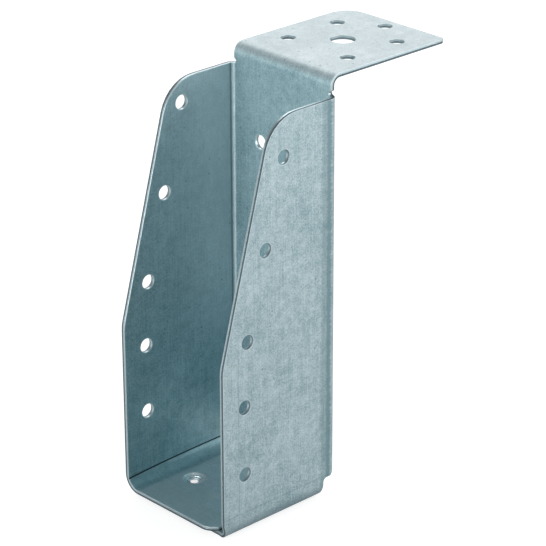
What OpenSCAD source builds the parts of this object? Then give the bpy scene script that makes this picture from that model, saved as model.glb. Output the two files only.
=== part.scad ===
// Joist hanger folded from one sheet: two cheeks, a back plate, a seat of two
// lapped flaps, and a lip that hooks over the top of the carrying beam.
// Frame: X across the joist, Y from the joist towards the beam, Z up. The
// origin is at the middle of the seat's top face, in the plane of the back
// plate's front face, where the end of the joist stops.

/* [Joist] */
// Width of the joist, the clear width between the cheeks
joist_w = 47; // [38:1:90]
// Height of the joist, from the top of the seat to the underside of the lip
joist_h = 146.5; // [120:0.5:220]

/* [Sheet] */
// Thickness of the sheet
sheet_t = 1.5; // [1.2:0.1:2]
// Inner radius of the two upright bends, from the back plate to the cheeks
upright_bend_r = 1.5; // [1:0.1:2.5]
// Inner radius of the two seat bends, from the cheeks to the flaps
seat_bend_r = 4.5; // [3:0.1:5.5]
// Inner radius of the bend between the neck and the lip
lip_bend_r = 2.5; // [1.5:0.1:3]

/* [Cheeks] */
// Depth of the seat, and of the cheeks up to the knee
cheek_depth = 50; // [42:1:70]
// Depth of the cheeks at their top edge, before its corner is rounded
cheek_top_depth = 28; // [24:1:36]
// Height of the knee, where the front edge starts to lean back
knee_h = 60; // [50:1:75]
// Radius of the knee
knee_r = 12; // [2:1:20]
// Drop from the underside of the lip to the top edge of the cheeks
cheek_drop = 5.5; // [5:0.5:12]
// Radius of the cheeks' top corner
cheek_corner_r = 14; // [4:1:16]

/* [Nail holes in the cheeks] */
// Diameter of every nail hole
nail_d = 5; // [4:0.1:6]
// Distance from the upright front edge to the two lower holes
row_edge = 9.5; // [8:0.5:12]
// Height of the lowest hole above the seat
row_first_h = 25.5; // [20:0.5:30]
// Rise from the lowest hole to the next
row_pitch = 24.5; // [16:0.5:26]
// Distance from the leaning edge to the upper holes, square to it
lean_edge = 7.2; // [6:0.1:10]
// Rise from the knee to the first of the upper holes
lean_first_rise = 13; // [8:0.5:16]
// Drop from the cheek's top edge to the last of the upper holes
lean_last_drop = 8.5; // [7:0.5:14]
// Number of upper holes
lean_count = 3; // [2:1:4]
// How much lower the holes of the right cheek are than those of the left
stagger = 5.7; // [0:0.1:8]

/* [Back plate] */
// Distance between the two nail holes of the back plate
back_spacing = 20.4; // [14:0.2:24]
// Drop from the cheeks' top edge to those holes
back_hole_drop = 25; // [10:1:60]
// Height of the plate's lower edge above the seat
back_foot_h = 7; // [6.5:0.5:12]

/* [Neck] */
// How far each side of the neck and lip stands in from the cheek's inner face
neck_inset = 0.5; // [0:0.5:4]
// Width of the slot that frees the neck from the bend below it
neck_slot_w = 2.8; // [2:0.2:3.6]
// Depth of that slot from the side of the neck
neck_slot_l = 2.4; // [2:0.1:3]

/* [Lip] */
// Reach of the lip behind the back plate's rear face
lip_reach = 51.8; // [45:0.1:70]
// Radius of the lip's free corner on the left
lip_left_r = 8; // [2:0.5:12]
// Radius of the lip's free corner on the right
lip_right_r = 2; // [1:0.5:12]
// Distance between the lip's nail holes, side to side
lip_spacing_x = 28; // [20:0.5:30]
// Distance from the back plate's rear face to the first pair of them
lip_first_y = 14.9; // [10:0.1:18]
// Distance from the first pair to the second
lip_spacing_y = 23; // [16:0.5:24]
// Distance from the lip's free edge to the single nail hole
lip_end_hole = 5.2; // [5:0.1:8]
// Diameter of the bolt hole
bolt_d = 8.5; // [7:0.5:10]
// Distance from the back plate's rear face to the bolt hole
bolt_y = 26.6; // [22:0.1:30]

/* [Seat] */
// Clearance from the end of the upper flap to the start of the right seat bend
flap_end_clear = 0.1; // [0.1:0.1:3]
// Chamfer of the upper flap's front corner
flap_chamfer = 3; // [2:0.5:8]
// Length of the lower flap, from the inner face of the right cheek
lower_flap_l = 31; // [20:1:32]
// How far the front edge of the lower flap stands behind the upper one's
lower_flap_setback = 3; // [1:0.5:6]
// Clearance between the lapped flaps
lap_gap = 0.1; // [0.1:0.1:0.5]
// Gap from the rear edge of the flaps to the back plate's front face
seat_rear_gap = 4.3; // [4:0.1:8]
// Distance from the left cheek's inner face to the pierced dimple
dimple_x = 11.2; // [8:0.1:12]
// Distance from the front edge to the pierced dimple
dimple_y = 20; // [12:0.5:30]
// Diameter of the dimple's dish at the seat's face
dish_d = 8; // [6:0.2:9]
// Depth of the dish where its wall turns steep
dish_depth = 0.5; // [0.3:0.1:0.6]
// Diameter of the steep wall
dimple_wall_d = 5; // [4:0.2:5.6]
// Diameter of the throat, the narrowest place of the dimple's hole
throat_d = 2.8; // [2:0.2:3.6]
// Depth of the throat under the seat's face
throat_depth = 1.1; // [0.9:0.1:1.1]

/* [Hidden] */
$fn = 96;

cut = 1;                                 // how far a cutter passes a face
in_x = joist_w / 2;                      // inner face of a cheek
out_x = in_x + sheet_t;                  // outer face of a cheek
cheek_h = joist_h - cheek_drop;          // top edge of the cheeks
lean = atan((cheek_depth - cheek_top_depth) / (cheek_h - knee_h));
lap = sheet_t + lap_gap;                 // how much lower the lower flap lies
neck_x = in_x - neck_inset;              // side of the neck and lip
lip_end_y = sheet_t + lip_reach;         // free edge of the lip
upper_end_x = in_x - seat_bend_r - flap_end_clear;
lower_end_x = in_x - lower_flap_l;
front_y = lower_flap_setback - cheek_depth; // front edge of the lower flap
setback_lead = 0.3;                      // start of the foot's setback above the bend
setback_step = 0.1;                      // its end before the lower flap's front edge
relief_h = seat_bend_r + 0.2;            // lower end of the cheeks at the rear
relief_r = 1.5;                          // radius in the rear relief
upright_r = upright_bend_r + sheet_t / 2; // upright bends at half thickness
relief_start = -8 / 15 * upright_r;      // where the relief starts to rise round
relief_end = upright_r / 3;              // the bend, and where it ends

// Place on the leaning front edge at height z
function lean_y(z) = -cheek_depth + (z - knee_h) * tan(lean);

// Places of the nail holes in a cheek as [y, z], all lowered by drop
function cheek_holes(drop) = concat(
    [for (i = [0, 1]) [row_edge - cheek_depth, row_first_h + i * row_pitch - drop]],
    [for (i = [0 : lean_count - 1])
        let (first = knee_h + lean_first_rise,
             last = cheek_h - lean_last_drop,
             z = first + i * (last - first) / (lean_count - 1))
        [lean_y(z) + lean_edge / cos(lean), z - drop]]);

// Unit vector from a to b
function toward(a, b) = (b - a) / norm(b - a);

// A plan in Y and Z, made as thick as the sheet along +X
module upright_plan() {
    rotate([90, 0, 90])
        linear_extrude(sheet_t)
            children();
}

// What a radius takes off the outside corner p between sides towards a and b
module corner_cut(p, a, b, r) {
    u = toward(p, a);
    v = toward(p, b);
    half = acos(u * v) / 2;
    middle = toward([0, 0], u + v);
    centre = p + middle * r / sin(half);
    difference() {
        polygon([p + u * r / tan(half), p - middle * cut, p + v * r / tan(half), centre]);
        translate(centre)
            circle(r);
    }
}

// A quarter bend of the sheet about the Z axis, from +X round to +Y
module bend(inner, length) {
    rotate_extrude(angle = 90)
        translate([inner, 0])
            square([sheet_t, length]);
}

// Side plan of a cheek down to foot, where its seat bend starts
module cheek_plan(foot) {
    rear = -upright_bend_r;
    knee = [-cheek_depth, knee_h];
    peak = [lean_y(cheek_h), cheek_h];
    difference() {
        polygon([[rear, foot], [-cheek_depth, foot], knee, peak, [rear, cheek_h]]);
        corner_cut(knee, [-cheek_depth, foot], peak, knee_r);
        corner_cut(peak, knee, [rear, cheek_h], cheek_corner_r);
    }
}

// One half of the folded wall on the right side, with its seat bend dropped
module side_wall(drop) {
    foot = seat_bend_r - drop;
    translate([in_x, 0, 0])
        upright_plan()
            cheek_plan(foot);
    translate([in_x - upright_bend_r, -upright_bend_r, foot])
        bend(upright_bend_r, cheek_h - foot);
    translate([in_x - seat_bend_r, -seat_rear_gap, foot])
        rotate([90, 0, 0])
            rotate([0, 0, -90])
                bend(seat_bend_r, cheek_depth - seat_rear_gap);
}

// What sets the front of the right seat bend back: one slant cut, from just
// above the bend on the cheek's front edge to just before the lower flap
module foot_setback() {
    turn = sqrt(2) * (seat_bend_r + sheet_t);
    rise = (turn + setback_lead) / (lower_flap_setback - setback_step);
    low = -turn - cut;
    clear_y = -cheek_depth - cut;
    translate([out_x, 0, seat_bend_r - lap])
        rotate([0, 45, 0])
            rotate([90, 0, 90])
                translate([0, 0, -turn])
                    linear_extrude(2 * turn)
                        polygon([
                            [-cheek_depth + (setback_lead - low) / rise, low],
                            [clear_y, setback_lead + cut * rise],
                            [clear_y, low]
                        ]);
}

// Back plate and the neck above it
module back_plate() {
    half = in_x - upright_bend_r;
    translate([0, sheet_t, 0])
        rotate([90, 0, 0])
            linear_extrude(sheet_t) {
                translate([-half, 0])
                    square([2 * half, cheek_h]);
                translate([-neck_x, cheek_h])
                    square([2 * neck_x, joist_h - lip_bend_r - cheek_h]);
            }
}

// Lip and its bend
module lip() {
    root_y = sheet_t + lip_bend_r;
    translate([-neck_x, root_y, joist_h - lip_bend_r])
        rotate([90, 0, 90])
            rotate([0, 0, 90])
                bend(lip_bend_r, 2 * neck_x);
    translate([0, 0, joist_h])
        linear_extrude(sheet_t)
            difference() {
                translate([-neck_x, root_y])
                    square([2 * neck_x, lip_end_y - root_y]);
                corner_cut([-neck_x, lip_end_y], [-neck_x, root_y], [0, lip_end_y], lip_left_r);
                corner_cut([neck_x, lip_end_y], [neck_x, root_y], [0, lip_end_y], lip_right_r);
            }
}

// Flap of the left cheek, which is the top of the seat
module upper_flap() {
    root_x = seat_bend_r - in_x;
    translate([0, 0, -sheet_t])
        linear_extrude(sheet_t)
            polygon([
                [root_x, -cheek_depth],
                [upper_end_x - flap_chamfer, -cheek_depth],
                [upper_end_x, flap_chamfer - cheek_depth],
                [upper_end_x, -seat_rear_gap],
                [root_x, -seat_rear_gap]
            ]);
}

// Flap of the right cheek, lapped under the other
module lower_flap() {
    root_x = in_x - seat_bend_r;
    translate([lower_end_x, front_y, -sheet_t - lap])
        cube([root_x - lower_end_x, -seat_rear_gap - front_y, sheet_t]);
}

// Relief where the upright bends would run into the seat bends: it frees the
// flaps from the back plate, rises round the bends, and ends the plate
module rear_relief() {
    start = [-seat_rear_gap, relief_h];
    low = -sheet_t - lap - cut;
    far = sheet_t + cut;
    wide = out_x + cut;
    translate([-wide, 0, 0])
        rotate([90, 0, 90])
            linear_extrude(2 * wide)
                difference() {
                    polygon([[start[0], low], start, [far, relief_h], [far, low]]);
                    corner_cut(start, [start[0], low], [far, relief_h], relief_r);
                }
    difference() {
        translate([-wide, cut - seat_rear_gap, low])
            cube([2 * wide, far + seat_rear_gap - cut, back_foot_h - low]);
        for (side = [0, 1])
            mirror([side, 0, 0])
                relief_ramp(low - cut);
    }
}

// What stays of the right side in front of the ramp that the relief climbs
// round the upright bend, square to the corner and from low up
module relief_ramp(low) {
    slope = (relief_end - relief_start) / (back_foot_h - relief_h);
    high = back_foot_h + cut;
    reach = 2 * seat_rear_gap + sheet_t;
    translate([out_x, sheet_t, 0])
        rotate([0, 0, 45])
            rotate([90, 0, 90])
                translate([0, 0, -reach])
                    linear_extrude(2 * reach)
                        polygon([
                            [relief_start - (relief_h - low) * slope, low],
                            [relief_end + cut * slope, high],
                            [-reach, high],
                            [-reach, low]
                        ]);
}

// Slots that free the sides of the neck from the upright bends
module neck_slots() {
    r = neck_slot_w / 2;
    for (side = [-1, 1])
        translate([side * (neck_x - neck_slot_l + r), sheet_t + cut, cheek_h + r])
            rotate([90, 0, 0]) {
                cylinder(r = r, h = sheet_t + 2 * cut);
                translate([side > 0 ? 0 : -neck_slot_l - cut, -r, 0])
                    cube([neck_slot_l + cut, neck_slot_w, sheet_t + 2 * cut]);
            }
}

// Nail holes of one cheek, drilled from its inner side towards +X
module cheek_nails(drop) {
    for (place = cheek_holes(drop))
        translate([in_x - cut, place[0], place[1]])
            rotate([0, 90, 0])
                cylinder(d = nail_d, h = sheet_t + 2 * cut);
}

// Nail holes of the back plate
module back_nails() {
    for (side = [-1, 1])
        translate([side * back_spacing / 2, -cut, cheek_h - back_hole_drop])
            rotate([-90, 0, 0])
                cylinder(d = nail_d, h = sheet_t + 2 * cut);
}

// Hole through the lip at [x, y]
module lip_hole(place, d) {
    translate([place[0], place[1], joist_h - cut])
        cylinder(d = d, h = sheet_t + 2 * cut);
}

// Four nail holes, the single one at the free edge, and the bolt hole
module lip_holes() {
    for (side = [-1, 1], row = [0, 1])
        lip_hole([side * lip_spacing_x / 2, sheet_t + lip_first_y + row * lip_spacing_y],
                 nail_d);
    lip_hole([0, lip_end_y - lip_end_hole], nail_d);
    lip_hole([0, sheet_t + bolt_y], bolt_d);
}

// Dimple pierced in the upper flap: a dish, a steep wall, and a throat that
// opens again towards the underside
module seat_dimple() {
    foot = throat_depth - sheet_t;
    translate([dimple_x - in_x, dimple_y - cheek_depth, 0])
        rotate_extrude()
            polygon([
                [0, cut],
                [dish_d / 2, cut],
                [dish_d / 2, 0],
                [dimple_wall_d / 2, -dish_depth],
                [throat_d / 2, -throat_depth],
                [throat_d / 2 - foot, -sheet_t],
                [throat_d / 2 - foot, -sheet_t - lap_gap / 2],
                [0, -sheet_t - lap_gap / 2]
            ]);
}

// The whole hanger, one folded sheet
module joist_hanger() {
    color("lightsteelblue")
        difference() {
            union() {
                difference() {
                    side_wall(lap);
                    foot_setback();
                }
                mirror([1, 0, 0])
                    side_wall(0);
                back_plate();
                lip();
                upper_flap();
                lower_flap();
            }
            rear_relief();
            neck_slots();
            cheek_nails(stagger);
            mirror([1, 0, 0])
                cheek_nails(0);
            back_nails();
            lip_holes();
            seat_dimple();
        }
}

joist_hanger();
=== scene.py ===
"""A joist hanger: one galvanised sheet, laid out flat, given its sheared edges and
holes, and folded up, on a pale floor in soft light.

The frame is the part's own: X across the joist, Y towards the beam, Z up. Sizes of
the sheet are in millimetres on the blank, and become metres when it is folded.
"""

import logging
import math
from dataclasses import dataclass, field
from enum import Enum
from functools import cached_property

import bpy
import numpy as np
from mathutils import Matrix, Vector
from mathutils.geometry import delaunay_2d_cdt


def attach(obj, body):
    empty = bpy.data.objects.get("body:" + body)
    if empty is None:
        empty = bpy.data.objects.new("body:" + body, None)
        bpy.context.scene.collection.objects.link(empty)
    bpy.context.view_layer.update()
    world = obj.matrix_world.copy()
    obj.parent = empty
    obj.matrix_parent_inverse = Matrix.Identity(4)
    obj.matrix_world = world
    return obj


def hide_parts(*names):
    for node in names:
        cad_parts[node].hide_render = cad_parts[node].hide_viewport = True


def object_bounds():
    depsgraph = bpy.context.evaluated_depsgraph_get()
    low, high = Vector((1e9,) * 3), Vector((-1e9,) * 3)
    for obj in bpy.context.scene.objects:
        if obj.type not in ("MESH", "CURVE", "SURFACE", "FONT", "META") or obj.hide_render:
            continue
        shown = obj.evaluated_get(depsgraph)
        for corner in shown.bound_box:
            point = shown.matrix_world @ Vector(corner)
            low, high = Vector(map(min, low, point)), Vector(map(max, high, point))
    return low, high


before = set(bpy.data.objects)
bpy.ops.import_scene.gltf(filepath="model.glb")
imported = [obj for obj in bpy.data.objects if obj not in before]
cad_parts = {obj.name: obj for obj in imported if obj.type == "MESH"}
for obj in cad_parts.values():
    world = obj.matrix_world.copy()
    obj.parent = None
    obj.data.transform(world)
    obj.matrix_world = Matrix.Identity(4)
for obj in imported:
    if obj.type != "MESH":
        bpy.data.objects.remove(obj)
cad_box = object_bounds()

log = logging.getLogger("joist_hanger")

MM = 0.001
NODE = "joist_hanger"
BODY = "root"

# Decimals of a millimetre that are kept when a size is read from the part's box
DECIMALS = 3

Point = tuple[float, float]
Colour = tuple[float, float, float]
Socket = bpy.types.NodeSocket


class Zone(Enum):
    """Which finish a strip of the sheet's surface takes."""

    SKIN = 0
    EDGE = 1
    BORE = 2


# --------------------------------------------------------------------------
# The blank and how it folds
# --------------------------------------------------------------------------


def _in_mm(value: float) -> float:
    """A size of the part's box in millimetres."""
    return round(value / MM, DECIMALS)


@dataclass(frozen=True)
class Sizes:
    """Sizes of the sheet in millimetres.

    The overall ones come from the part's box and the rest repeat the part's own. Only
    the slots beside the neck and the round corner of the upper flap are finer here.
    X is across the joist, y is from the back plate's front face towards the beam, and
    heights are from the seat.
    """

    # Sheet and bends: the radii are those of the inner faces
    sheet_t: float = 1.5
    upright_bend_r: float = 1.5
    seat_bend_r: float = 4.5
    lip_bend_r: float = 2.5
    # How wide and high the hanger is, and how far the cheeks and the lip reach
    width: float = _in_mm(cad_box[1].x - cad_box[0].x)
    top_h: float = _in_mm(cad_box[1].z)
    cheek_depth: float = -_in_mm(cad_box[0].y)
    lip_end_y: float = _in_mm(cad_box[1].y)
    # Cheeks
    cheek_top_depth: float = 28.0
    knee_h: float = 60.0
    knee_r: float = 12.0
    cheek_h: float = 141.0
    cheek_corner_r: float = 14.0
    # Nail holes: the lower row, the leaning row, and how much lower the right ones are
    nail_d: float = 5.0
    row_edge: float = 9.5
    row_heights: tuple[float, ...] = (25.5, 50.0)
    lean_edge: float = 7.2
    lean_heights: tuple[float, ...] = (73.0, 102.75, 132.5)
    stagger: float = 5.7
    # Back plate, and the neck with the slots beside it
    back_spacing: float = 20.4
    back_hole_h: float = 116.0
    back_foot_h: float = 7.0
    neck_inset: float = 0.5
    slot_w: float = 1.3
    slot_l: float = 1.0
    # Lip
    lip_left_r: float = 8.0
    lip_right_r: float = 2.0
    lip_spacing_x: float = 28.0
    lip_rows_y: tuple[float, ...] = (16.4, 39.4)
    lip_end_hole_y: float = 48.1
    bolt_d: float = 8.5
    bolt_y: float = 28.1
    # Seat flaps: the upper one is the left cheek's
    flap_chamfer: float = 3.0
    flap_corner_r: float = 5.0
    upper_end_x: float = 18.9
    lower_end_x: float = -7.5
    lower_flap_setback: float = 3.0
    setback_lead: float = 0.3
    lap: float = 1.6
    seat_rear_gap: float = 4.3
    # Relief at the rear foot: the turns of the upright bend, in radians, that it spans
    relief_h: float = 4.7
    relief_r: float = 1.5
    relief_turns: tuple[float, float] = (0.4456, 1.3480)
    # Pierced dimple in the seat
    dimple_x: float = -12.3
    dimple_y: float = -30.0

    @property
    def joist_w(self) -> float:
        """Clear width between the cheeks."""
        return self.width - 2 * self.sheet_t

    @property
    def joist_h(self) -> float:
        """Height of the lip's underside."""
        return self.top_h - self.sheet_t

    @property
    def in_x(self) -> float:
        """Inner face of a cheek."""
        return self.joist_w / 2

    @property
    def neck_x(self) -> float:
        """Edge of the neck and of the lip."""
        return self.in_x - self.neck_inset

    @property
    def half_t(self) -> float:
        """Half the sheet's thickness."""
        return self.sheet_t / 2

    @property
    def slot_r(self) -> float:
        """Radius at the slots' ends, a hair under half their width."""
        return self.slot_w / 2 - 0.001

    @property
    def lean(self) -> float:
        """Slope of the leaning front edge: depth lost for each rise."""
        return (self.cheek_depth - self.cheek_top_depth) / (self.cheek_h - self.knee_h)


class Fold:
    """Places points of the blank on the folded sheet.

    The blank's u runs across it and its v up it, and n is the height above the
    middle of the sheet, positive on the side that the punch struck: the inside of
    the cheeks, the front of the back plate, and the top of the lip and the seat.
    """

    # Height over which the upright bends flatten out above the cheeks
    UNBEND = 1.2

    def __init__(self, sizes: Sizes) -> None:
        """Works out where the bends lie on the blank.

        Args:
            sizes: The sheet's sizes.
        """
        self.sizes = sizes
        quarter = math.pi / 2
        self.upright_r = sizes.upright_bend_r + sizes.half_t
        self.seat_r = sizes.seat_bend_r + sizes.half_t
        self.lip_r = sizes.lip_bend_r + sizes.half_t
        self.upright_u = sizes.in_x - sizes.upright_bend_r
        self.cheek_u = self.upright_u + quarter * self.upright_r
        self.seat_arc = quarter * self.seat_r
        self.lip_v = sizes.joist_h - sizes.lip_bend_r
        self.lip_flat_v = self.lip_v + quarter * self.lip_r

    def drop(self, side: int) -> float:
        """How much lower the seat flap of that side lies: 1 is right, -1 left."""
        return self.sizes.lap if side > 0 else 0.0

    def foot(self, side: int) -> float:
        """Height at which the seat bend of that side starts."""
        return self.sizes.seat_bend_r - self.drop(side)

    def cheek(self, side: int, y: float, z: float) -> Point:
        """Blank place of a point of a cheek, from its depth y and height z."""
        return side * (self.cheek_u - self.sizes.upright_bend_r - y), z

    def flap(self, side: int, x: float, y: float) -> Point:
        """Blank place of a point of a seat flap.

        Args:
            side: 1 for the right flap, -1 for the left.
            x: The point's place across the joist.
            y: Its depth, negative in front of the back plate.

        Returns:
            Its u and v.
        """
        root = side * (self.sizes.in_x - self.sizes.seat_bend_r)
        v = self.foot(side) - self.seat_arc - side * (root - x)
        return self.cheek(side, y, v)

    def lip(self, x: float, y: float) -> Point:
        """Blank place of a point of the lip."""
        return x, self.lip_flat_v + y - self.sizes.sheet_t - self.sizes.lip_bend_r

    def _middle(self, u: float, v: float, n: float) -> tuple[Vector, Matrix]:
        """Place and axes on the back plate, the neck and the lip.

        Args:
            u: Distance across the blank.
            v: Distance up the blank.
            n: Height above the middle of the sheet.

        Returns:
            The point, and a matrix whose columns run along u, along v and up n.
        """
        s = self.sizes
        if v <= self.lip_v:
            return Vector((u, s.half_t - n, v)), _axes((1, 0, 0), (0, 0, 1), (0, -1, 0))
        turn = min((v - self.lip_v) / self.lip_r, math.pi / 2)
        sin, cos = math.sin(turn), math.cos(turn)
        radius = self.lip_r + n
        past = max(v - self.lip_flat_v, 0.0)
        y = s.sheet_t + s.lip_bend_r - radius * cos + past
        z = self.lip_v + radius * sin
        return Vector((u, y, z)), _axes((1, 0, 0), (0, sin, cos), (0, -cos, sin))

    def _side(self, u: float, v: float, n: float) -> tuple[Vector, Matrix]:
        """Place and axes on an upright bend, a cheek, a seat bend or a flap.

        Args:
            u: Distance across the blank.
            v: Distance up the blank.
            n: Height above the middle of the sheet.

        Returns:
            The point, and a matrix whose columns run along u, along v and up n.
        """
        s = self.sizes
        side = 1 if u > 0 else -1
        run = abs(u) - self.upright_u
        turn = min(run / self.upright_r, math.pi / 2)
        sin, cos = math.sin(turn), math.cos(turn)
        y = -s.upright_bend_r + (self.upright_r - n) * cos - max(abs(u) - self.cheek_u, 0.0)
        foot = self.foot(side)
        if v >= foot:
            x = side * (self.upright_u + (self.upright_r - n) * sin)
            axes = _axes((cos, -side * sin, 0), (0, 0, 1), (-side * sin, -cos, 0))
            return Vector((x, y, v)), axes
        turn = min((foot - v) / self.seat_r, math.pi / 2)
        sin, cos = math.sin(turn), math.cos(turn)
        past = max(foot - v - self.seat_arc, 0.0)
        x = side * (s.in_x - s.seat_bend_r + (self.seat_r - n) * cos - past)
        z = foot - (self.seat_r - n) * sin
        axes = _axes((0, -side, 0), (side * sin, 0, cos), (-side * cos, 0, sin))
        return Vector((x, y, z)), axes

    def place(self, u: float, v: float, n: float) -> tuple[Vector, Matrix]:
        """Place and axes of a point of the blank once the sheet is folded.

        Args:
            u: Distance across the blank.
            v: Distance up the blank.
            n: Height above the middle of the sheet.

        Returns:
            The point in metres, and a matrix whose columns run along u, v and n.
        """
        flat = _ramp(v, self.sizes.cheek_h, self.sizes.cheek_h + self.UNBEND)
        if abs(u) <= self.upright_u or flat >= 1.0:
            point, axes = self._middle(u, v, n)
        elif flat <= 0.0:
            point, axes = self._side(u, v, n)
        else:
            point, axes = self._side(u, v, n)
            point = point.lerp(self._middle(u, v, n)[0], flat)
        return point * MM, axes

    def lattice(self, pitch: float, steps: int) -> tuple[list[float], list[float]]:
        """Lines across and up the blank, close together where the sheet bends.

        Args:
            pitch: Distance between lines where the sheet is flat.
            steps: Number of steps that each quarter bend is divided into.

        Returns:
            The u of the upright lines, and the v of the level ones.
        """
        s = self.sizes
        front = self.cheek_u + s.cheek_depth - s.upright_bend_r
        right = _spread(0.0, self.upright_u, pitch)
        right += _steps(self.upright_u, self.cheek_u, steps)
        right += _spread(self.cheek_u, front, pitch)
        across = sorted({round(sign * u, 6) for u in right for sign in (-1, 1)})
        up = _steps(self.lip_v, self.lip_flat_v, steps)
        for side in (-1, 1):
            up += _steps(self.foot(side) - self.seat_arc, self.foot(side), steps)
        low = self.flap(-1, s.upper_end_x, 0.0)[1]
        up += _spread(low, self.foot(1) - self.seat_arc, pitch)
        up += _spread(s.seat_bend_r, self.lip_v, pitch)
        up += _spread(self.lip_flat_v, self.lip(0.0, s.lip_end_y)[1], pitch)
        return across, sorted({round(v, 6) for v in up})


def _axes(along: tuple, up: tuple, out: tuple) -> Matrix:
    """A matrix whose columns are the three directions."""
    return Matrix((along, up, out)).transposed()


def _ramp(value: float, low: float, high: float) -> float:
    """0 below low, 1 above high, and straight between."""
    return min(max((value - low) / (high - low), 0.0), 1.0)


def _steps(start: float, end: float, count: int) -> list[float]:
    """Evenly spaced values from start to end, both among them."""
    return [start + (end - start) * i / count for i in range(count + 1)]


def _spread(start: float, end: float, pitch: float) -> list[float]:
    """Evenly spaced values from start to end, about a pitch apart."""
    return _steps(start, end, max(1, round((end - start) / pitch)))


# --------------------------------------------------------------------------
# Edges: closed loops on the blank, each with the section of its cut
# --------------------------------------------------------------------------


@dataclass(frozen=True)
class Rung:
    """One line of a cut's section, carried all round its loop.

    Attributes:
        out: How far it stands out from the loop, away from the metal.
        n: Its height above the middle of the sheet.
        tilt: Angle of the surface there, 90 for the struck face and 0 for the wall.
        zone: Finish of the strip from this rung to the next.
    """

    out: float
    n: float
    tilt: float
    zone: Zone = Zone.SKIN


@dataclass(frozen=True)
class ShearedSection:
    """Section of an edge that a punch or a shear has cut.

    The struck side is rolled over, the wall below it is burnished, and the rest
    breaks away a little inward, down to a fine burr line.

    Attributes:
        roll: Width of the rolled edge.
        roll_depth: Depth of the rolled edge.
        burnish: Depth of the burnished wall.
        break_in: How far the broken wall stands in from the burnished one.
        break_depth: Depth over which it steps in.
        burr: Radius at the far side.
        zone: Finish of the wall.
    """

    roll: float = 0.22
    roll_depth: float = 0.2
    burnish: float = 0.5
    break_in: float = 0.05
    break_depth: float = 0.06
    burr: float = 0.1
    zone: Zone = Zone.EDGE

    def rungs(self, thickness: float) -> list[Rung]:
        """The section's lines.

        Args:
            thickness: Thickness of the sheet.

        Returns:
            The lines, from the struck face to the far one.
        """
        top = thickness / 2
        steps = 4
        made = []
        for i in range(steps + 1):
            turn = math.radians(90 * i / steps)
            made.append(
                Rung(
                    out=-self.roll * (1 - math.sin(turn)),
                    n=top - self.roll_depth * (1 - math.cos(turn)),
                    tilt=90 - math.degrees(turn),
                    zone=self.zone if i >= steps - 1 else Zone.SKIN,
                )
            )
        foot = top - self.roll_depth - self.burnish
        low = self.burr - top
        made.append(Rung(0.0, foot, 0.0, self.zone))
        made.append(Rung(-self.break_in, foot - self.break_depth, 0.0, self.zone))
        made.append(Rung(-self.break_in, low, 0.0, self.zone))
        made.append(Rung(-self.break_in - 0.3 * self.burr, low - 0.7 * self.burr, -45.0))
        made.append(Rung(-self.break_in - self.burr, -top, -90.0))
        return made


@dataclass(frozen=True)
class DimpleSection:
    """Section of the dimple pierced in the seat: a dish, a steep wall, a throat.

    Attributes:
        places: Radius, depth and tilt of each line from the rim to the far face.
    """

    places: tuple[tuple[float, float, float], ...] = (
        (4.6, 0.0, 90.0),
        (4.3, 0.03, 78.0),
        (4.0, 0.13, 64.0),
        (3.6, 0.34, 60.0),
        (3.2, 0.56, 62.0),
        (3.0, 0.64, 74.0),
        (2.8, 0.67, 80.0),
        (2.7, 0.71, 40.0),
        (2.66, 0.86, 12.0),
        (2.6, 0.94, 45.0),
        (2.5, 0.97, 84.0),
        (2.15, 0.98, 88.0),
        (2.0, 1.0, 60.0),
        (1.88, 1.1, 20.0),
        (1.8, 1.2, 40.0),
        (1.55, 1.25, 70.0),
        (1.42, 1.28, 30.0),
        (1.38, 1.33, -10.0),
        (1.45, 1.42, -35.0),
        (1.6, 1.5, -60.0),
    )

    @property
    def rim_r(self) -> float:
        """Radius at which the sheet starts to dip."""
        return self.places[0][0]

    def rungs(self, thickness: float) -> list[Rung]:
        """The section's lines.

        Args:
            thickness: Thickness of the sheet.

        Returns:
            The lines, from the seat's face to its underside.
        """
        top = thickness / 2
        return [Rung(self.rim_r - r, top - depth, tilt) for r, depth, tilt in self.places]


class Loop:
    """A closed line on the blank, with the metal on its left."""

    # Least distance between two points, and least run that a lattice line can cut
    CLOSEST = 0.1
    SHORTEST = 1e-6

    def __init__(self, corners: list[Point], across: list[float], up: list[float],
                 longest: float = 2.0) -> None:
        """Divides the line where it crosses the lattice and where it is long.

        Args:
            corners: The line's points in order, the first not repeated.
            across: The u of the lattice's upright lines.
            up: The v of the lattice's level lines.
            longest: Greatest distance between two points.
        """
        points: list[Point] = []
        for a, b in zip(corners, corners[1:] + corners[:1]):
            count = max(1, math.ceil(math.dist(a, b) / longest))
            cuts = {i / count for i in range(count)}
            for axis, lines in ((0, across), (1, up)):
                if abs(b[axis] - a[axis]) > self.SHORTEST:
                    cuts |= {(line - a[axis]) / (b[axis] - a[axis]) for line in lines}
            for cut in sorted(c for c in cuts if 0.0 <= c < 1.0):
                point = (a[0] + (b[0] - a[0]) * cut, a[1] + (b[1] - a[1]) * cut)
                if cut == 0.0 or math.dist(point, b) > self.CLOSEST:
                    if not points or math.dist(point, points[-1]) > self.CLOSEST:
                        points.append(point)
        if math.dist(points[-1], points[0]) < self.CLOSEST:
            points.pop()
        self.points = np.array(points)
        ahead = np.roll(self.points, -1, axis=0) - self.points
        ahead /= np.linalg.norm(ahead, axis=1, keepdims=True)
        sides = np.stack((ahead[:, 1], -ahead[:, 0]), axis=1)
        both = sides + np.roll(sides, 1, axis=0)
        both /= np.linalg.norm(both, axis=1, keepdims=True)
        self.outward = both
        self.stretch = 1.0 / np.sum(both * sides, axis=1)

    def moved(self, out: float) -> np.ndarray:
        """The loop's points, moved outward by that distance."""
        return self.points + self.outward * (self.stretch * out)[:, None]


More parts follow.
